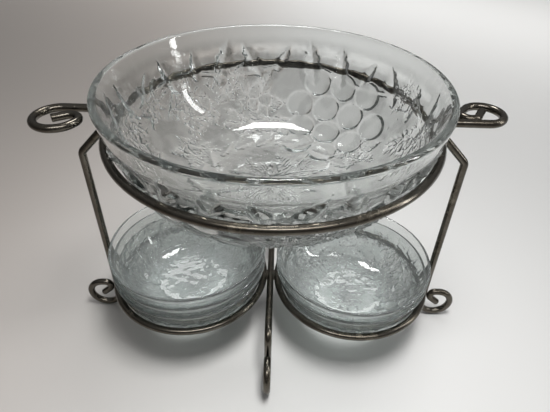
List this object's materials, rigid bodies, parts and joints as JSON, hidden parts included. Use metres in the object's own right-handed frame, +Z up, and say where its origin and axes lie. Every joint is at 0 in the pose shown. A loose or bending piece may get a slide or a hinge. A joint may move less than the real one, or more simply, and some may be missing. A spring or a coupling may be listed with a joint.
{
  "type": "chip and dip server",
  "caption": "Wire stand with scroll feet and scroll handles that carries a large glass chip bowl in an upper ring and nests of small glass dip bowls in a pair of lower rings.",
  "frame": {"origin": "on the table under the middle of the stand, at the lowest point of the scroll feet", "axes": "+Z up, +X along the pair of lower rings towards the shorter nest, -Y towards the front of the picture"},
  "size_m": [0.3652, 0.2526, 0.246],
  "materials": {
    "wire": "antique pewter plating, dark in the hollows and worn bright on top",
    "weld": "ground weld under the same plating",
    "chip_glass": "clear pressed glass, fruit and leaf relief outside, polished inside",
    "dip_glass": "clear pressed glass, fruit and leaf relief outside, polished inside"
  },
  "bodies": {
    "stand": {"upper_ring": "wire", "handle_left": "wire", "handle_right": "wire", "side_leg_left": "wire", "side_leg_right": "wire", "dip_ring_left": "wire", "dip_ring_right": "wire", "centre_bar": "wire", "leg_welds": "weld", "handle_welds": "weld", "dip_ring_leg_welds": "weld", "dip_ring_bar_welds": "weld"},
    "chip_bowl": {"chip_bowl": "chip_glass"},
    "dip_left_bottom": {"dip_bowl_left_bottom": "dip_glass"},
    "dip_left_middle": {"dip_bowl_left_middle": "dip_glass"},
    "dip_left_top": {"dip_bowl_left_top": "dip_glass"},
    "dip_right_bottom": {"dip_bowl_right_bottom": "dip_glass"},
    "dip_right_top": {"dip_bowl_right_top": "dip_glass"}
  },
  "joints": [
    {"name": "chip_bowl_lift", "type": "slide", "parent": "stand", "child": "chip_bowl", "axis": [0, 0, 1], "range_m": [0, 0.1]},
    {"name": "dip_left_bottom_lift", "type": "slide", "parent": "stand", "child": "dip_left_bottom", "axis": [0, 0, 1], "range_m": [0, 0.036]},
    {"name": "dip_left_middle_lift", "type": "slide", "parent": "dip_left_bottom", "child": "dip_left_middle", "axis": [0, 0, 1], "range_m": [0, 0.015]},
    {"name": "dip_left_top_lift", "type": "slide", "parent": "dip_left_middle", "child": "dip_left_top", "axis": [0, 0, 1], "range_m": [0, 0.015]},
    {"name": "dip_right_bottom_lift", "type": "slide", "parent": "stand", "child": "dip_right_bottom", "axis": [0, 0, 1], "range_m": [0, 0.036]},
    {"name": "dip_right_top_lift", "type": "slide", "parent": "dip_right_bottom", "child": "dip_right_top", "axis": [0, 0, 1], "range_m": [0, 0.04]}
  ]
}
